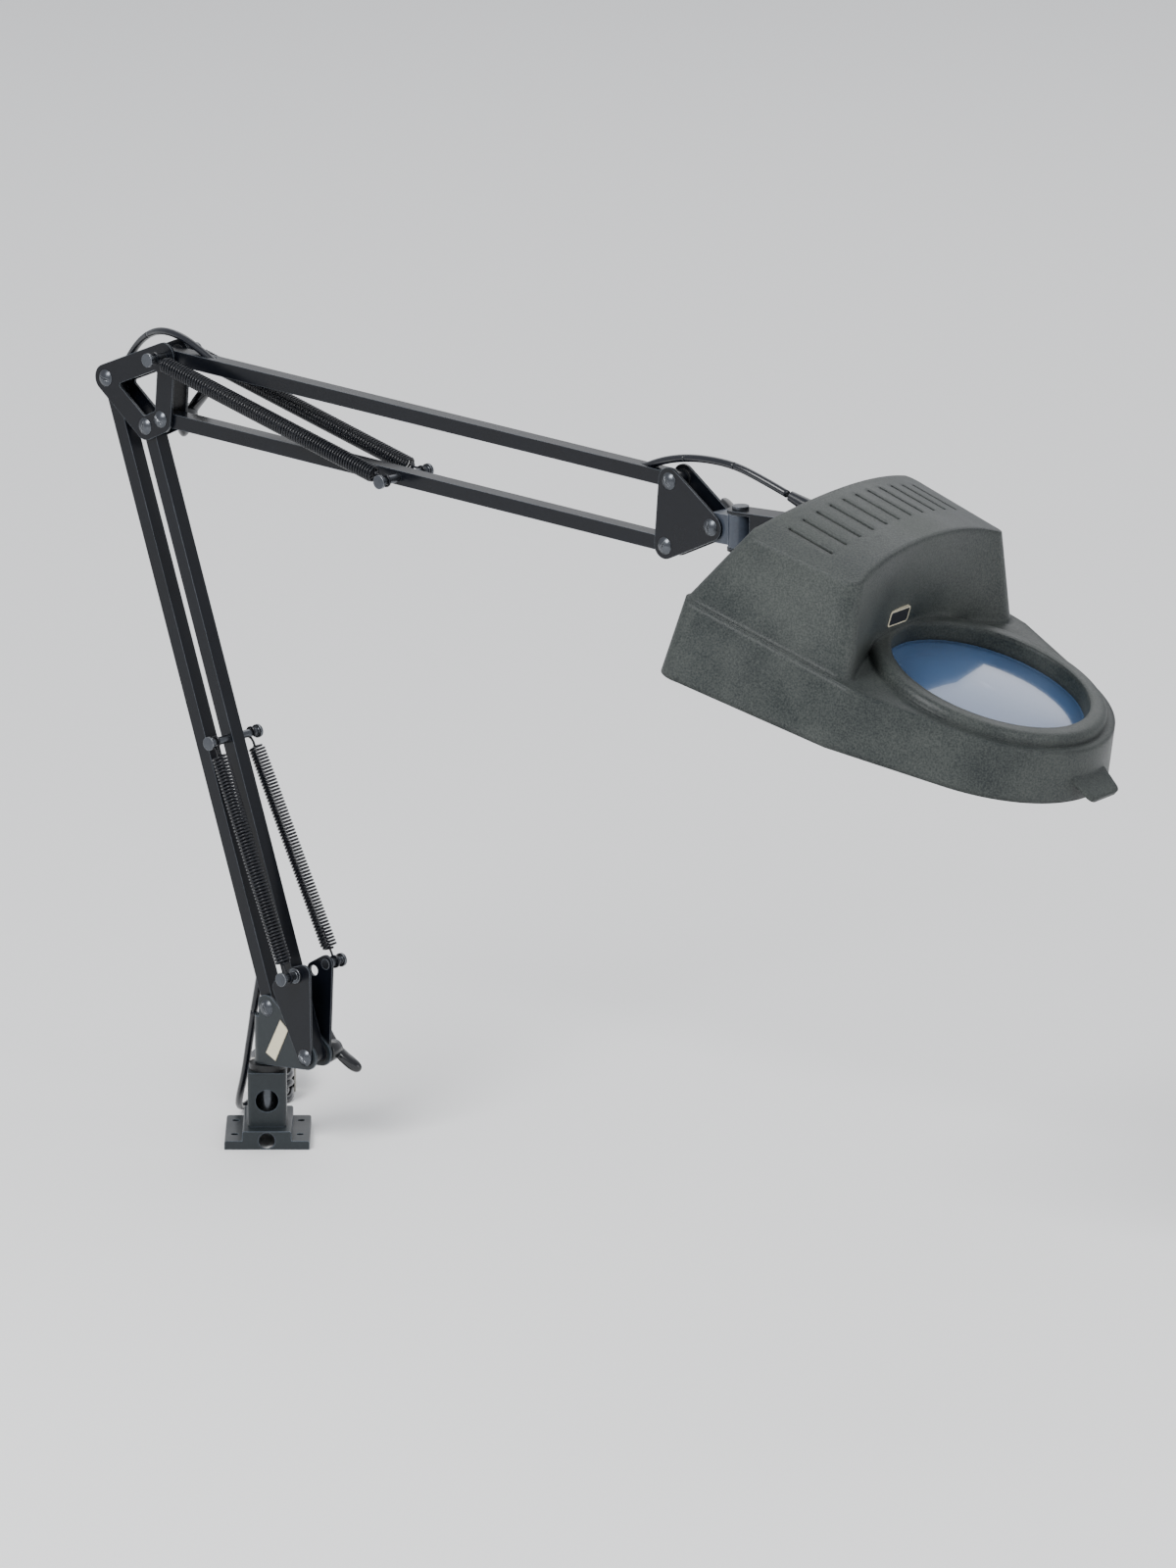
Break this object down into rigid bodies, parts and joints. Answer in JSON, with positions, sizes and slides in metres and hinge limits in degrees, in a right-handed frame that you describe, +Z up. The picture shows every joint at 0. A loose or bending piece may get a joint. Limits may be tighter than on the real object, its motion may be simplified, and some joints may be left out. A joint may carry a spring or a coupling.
{
  "type": "magnifier work lamp",
  "caption": "Swing-arm bench lamp with a vented hood, a round magnifying lens, sprung parallel arms and a screw-down bracket.",
  "frame": {"origin": "on the axis of the base swivel, level with the underside of the foot", "axes": "+Z up along the base swivel axis; the foot's front tab faces -Y"},
  "size_m": [0.6075, 0.5755, 0.496],
  "materials": {
    "bracket_paint": "dark grey enamel",
    "arm_paint": "gloss black enamel",
    "zinc": "bright zinc",
    "nylon": "nylon",
    "spring_black": "black japanned wire",
    "label": "bare pale label",
    "knob_plastic": "gloss black",
    "cord": "black PVC",
    "tie": "paper-covered wire",
    "brass": "plated blades",
    "knuckle_grey": "grey enamel",
    "hood_plastic": "dark grey-green, fine texture",
    "lens_glass": "clear",
    "retainer_plastic": "satin black",
    "rocker": "gloss black",
    "bulb_glass": "frosted white",
    "porcelain": "glazed",
    "reflector_metal": "white-painted aluminium"
  },
  "bodies": {
    "bracket": {"foot_plate": "bracket_paint", "tower_bracket": "bracket_paint", "swivel_collar": "nylon", "mains_cord": "cord", "cord_hank": "cord", "cord_tie": "tie", "plug_body": "cord", "plug_blades": "brass"},
    "yoke": {"swivel_pin": "zinc", "pin_ring": "zinc", "yoke_frame": "bracket_paint", "spring_ears": "arm_paint", "spring_studs": "zinc", "rating_plate": "label", "yoke_screws": "zinc", "yoke_washers": "nylon", "base_cord": "cord"},
    "yoke_knob": {"yoke_knob": "knob_plastic"},
    "lower_rear_bar": {"lower_rear_bar": "arm_paint"},
    "lower_front_bar": {"lower_front_bar": "arm_paint", "lower_spring_pin": "zinc"},
    "near_spring": {"lower_spring_near": "spring_black"},
    "far_spring": {"lower_spring_far": "spring_black"},
    "near_hook": {"lower_hook_near": "spring_black"},
    "far_hook": {"lower_hook_far": "spring_black"},
    "elbow": {"elbow_plate_near": "arm_paint", "elbow_plate_far": "arm_paint", "elbow_screws": "zinc", "elbow_spring_pin": "zinc", "elbow_washers": "nylon", "elbow_cord_upper": "cord", "elbow_cord_lower": "cord"},
    "elbow_knob": {"elbow_knob": "knob_plastic"},
    "upper_top_bar": {"upper_top_bar": "arm_paint"},
    "upper_bottom_bar": {"upper_bottom_bar": "arm_paint", "upper_spring_pin": "zinc"},
    "upper_springs": {"upper_spring_near": "spring_black", "upper_spring_far": "spring_black"},
    "upper_hooks": {"upper_hooks": "spring_black"},
    "head_bracket": {"head_plates": "arm_paint", "head_screws": "zinc", "head_washers": "nylon", "head_cord_rear": "cord", "head_cord_middle": "cord"},
    "head_knob": {"head_knob": "knob_plastic"},
    "knuckle": {"tilt_knuckle": "knuckle_grey"},
    "head": {"swivel_post": "zinc", "neck_bracket": "arm_paint", "hood": "hood_plastic", "lens": "lens_glass", "lens_retainer": "retainer_plastic", "retainer_screws": "zinc", "bulb": "bulb_glass", "lamp_socket": "porcelain", "socket_strap": "reflector_metal", "reflector": "reflector_metal", "switch_frame": "retainer_plastic", "strain_relief": "cord", "head_cord_front": "cord"},
    "switch": {"switch_rocker": "rocker"}
  },
  "joints": [
    {"name": "base_swivel", "type": "hinge", "parent": "bracket", "child": "yoke", "pos_m": [0, 0, 0.05], "axis": [0, 0, 1], "range_deg": [-120, 120], "deforming": ["mains_cord"]},
    {"name": "lower_arm", "type": "hinge", "parent": "yoke", "child": "lower_rear_bar", "pos_m": [0.00483, -0.0042, 0.0864], "axis": [0.6561, 0.7547, 0], "range_deg": [-15, 40], "deforming": ["base_cord"]},
    {"name": "lower_link", "type": "hinge", "parent": "yoke", "child": "lower_front_bar", "pos_m": [0.02936, -0.02552, 0.061], "axis": [0.6561, 0.7547, 0], "range_deg": [-15, 40]},
    {"name": "elbow_level", "type": "hinge", "parent": "lower_rear_bar", "child": "elbow", "pos_m": [-0.09299, 0.08083, 0.46069], "axis": [0.6561, 0.7547, 0], "range_deg": [-40, 15], "deforming": ["elbow_cord_lower"]},
    {"name": "upper_arm", "type": "hinge", "parent": "elbow", "child": "upper_top_bar", "pos_m": [-0.05646, 0.04908, 0.48089], "axis": [0.6561, 0.7547, 0], "range_deg": [-35, 25], "deforming": ["elbow_cord_upper"]},
    {"name": "upper_link", "type": "hinge", "parent": "elbow", "child": "upper_bottom_bar", "pos_m": [-0.05888, 0.05118, 0.44139], "axis": [0.6561, 0.7547, 0], "range_deg": [-35, 25]},
    {"name": "head_level", "type": "hinge", "parent": "upper_top_bar", "child": "head_bracket", "pos_m": [0.24838, -0.21591, 0.46326], "axis": [0.6561, 0.7547, 0], "range_deg": [-25, 35], "deforming": ["head_cord_rear"]},
    {"name": "head_tilt", "type": "hinge", "parent": "head_bracket", "child": "knuckle", "pos_m": [0.2726, -0.23697, 0.44006], "axis": [0.6561, 0.7547, 0], "range_deg": [-30, 35], "deforming": ["head_cord_middle"]},
    {"name": "head_swivel", "type": "hinge", "parent": "knuckle", "child": "head", "pos_m": [0.28543, -0.24812, 0.44006], "axis": [0, 0, 1], "range_deg": [-60, 45], "deforming": ["head_cord_front"]},
    {"name": "switch_rock", "type": "hinge", "parent": "head", "child": "switch", "pos_m": [0.36435, -0.21003, 0.43945], "axis": [0.5446, 0.8387, 0], "range_deg": [0, 14]},
    {"name": "yoke_knob_turn", "type": "hinge", "parent": "yoke", "child": "yoke_knob", "pos_m": [0.02936, -0.02552, 0.061], "axis": [0.6561, 0.7547, 0], "continuous": true},
    {"name": "elbow_knob_turn", "type": "hinge", "parent": "elbow", "child": "elbow_knob", "pos_m": [-0.05888, 0.05118, 0.44139], "axis": [0.6561, 0.7547, 0], "continuous": true},
    {"name": "head_knob_turn", "type": "hinge", "parent": "head_bracket", "child": "head_knob", "pos_m": [0.2726, -0.23697, 0.44006], "axis": [0.6561, 0.7547, 0], "continuous": true},
    {"name": "near_spring_swing", "type": "hinge", "parent": "lower_front_bar", "child": "near_spring", "pos_m": [-0.01993, 0.01733, 0.24961], "axis": [0.6561, 0.7547, 0], "range_deg": [-4.99, 13.22], "deforming": ["lower_spring_near"]},
    {"name": "far_spring_swing", "type": "hinge", "parent": "lower_front_bar", "child": "far_spring", "pos_m": [-0.01993, 0.01733, 0.24961], "axis": [0.6561, 0.7547, 0], "range_deg": [-5.55, 14.72], "deforming": ["lower_spring_far"]},
    {"name": "near_hook_swing", "type": "hinge", "parent": "yoke", "child": "near_hook", "pos_m": [0.02415, -0.02099, 0.1115], "axis": [0.6561, 0.7547, 0], "range_deg": [-19.99, 53.22]},
    {"name": "far_hook_swing", "type": "hinge", "parent": "yoke", "child": "far_hook", "pos_m": [0.03132, -0.02723, 0.117], "axis": [0.6561, 0.7547, 0], "range_deg": [-20.55, 54.72]},
    {"name": "upper_spring_swing", "type": "hinge", "parent": "upper_bottom_bar", "child": "upper_springs", "pos_m": [0.08559, -0.0744, 0.43304], "axis": [0.6561, 0.7547, 0], "range_deg": [-1, 1]},
    {"name": "upper_spring_stretch", "type": "slide", "parent": "upper_springs", "child": "upper_hooks", "axis": [-0.7314, 0.6358, 0.2464], "range_m": [-0.0245, 0.0175], "deforming": ["upper_spring_near", "upper_spring_far", "upper_hooks"]}
  ],
  "couplings": [
    {"joint": "lower_link", "follows": "lower_arm", "ratio": 1},
    {"joint": "elbow_level", "follows": "lower_arm", "ratio": -1},
    {"joint": "upper_link", "follows": "upper_arm", "ratio": 1},
    {"joint": "head_level", "follows": "upper_arm", "ratio": -1},
    {"joint": "near_spring_swing", "follows": "lower_arm", "ratio": 0.32914},
    {"joint": "far_spring_swing", "follows": "lower_arm", "ratio": 0.36668},
    {"joint": "near_hook_swing", "follows": "lower_arm", "ratio": 1.3291},
    {"joint": "far_hook_swing", "follows": "lower_arm", "ratio": 1.3667},
    {"joint": "upper_spring_swing", "follows": "upper_arm", "ratio": 0.009},
    {"joint": "upper_spring_stretch", "follows": "upper_arm", "m_per_rad": 0.0385}
  ]
}
